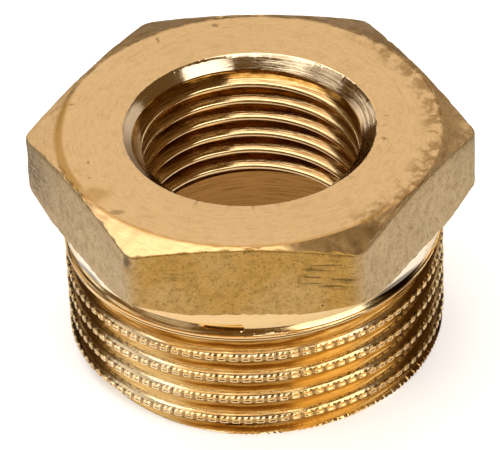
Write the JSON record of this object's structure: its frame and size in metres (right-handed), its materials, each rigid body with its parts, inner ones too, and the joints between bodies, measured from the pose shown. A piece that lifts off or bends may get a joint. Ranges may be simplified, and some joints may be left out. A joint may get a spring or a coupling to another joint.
{
  "type": "hex bushing",
  "caption": "Brass reducing pipe bushing: a hexagon head with a threaded bore on a threaded spigot, with a wider cavity at the male end.",
  "frame": {"origin": "middle of the flat face at the male end, on the axis", "axes": "+Z along the axis, from the male end up to the hexagon head; two flats of the head face +Y and -Y"},
  "size_m": [0.0388, 0.034, 0.021],
  "materials": {
    "brass": "turned and worn, partly satin"
  },
  "bodies": {
    "root": {"hex_bushing": "brass"}
  },
  "joints": []
}
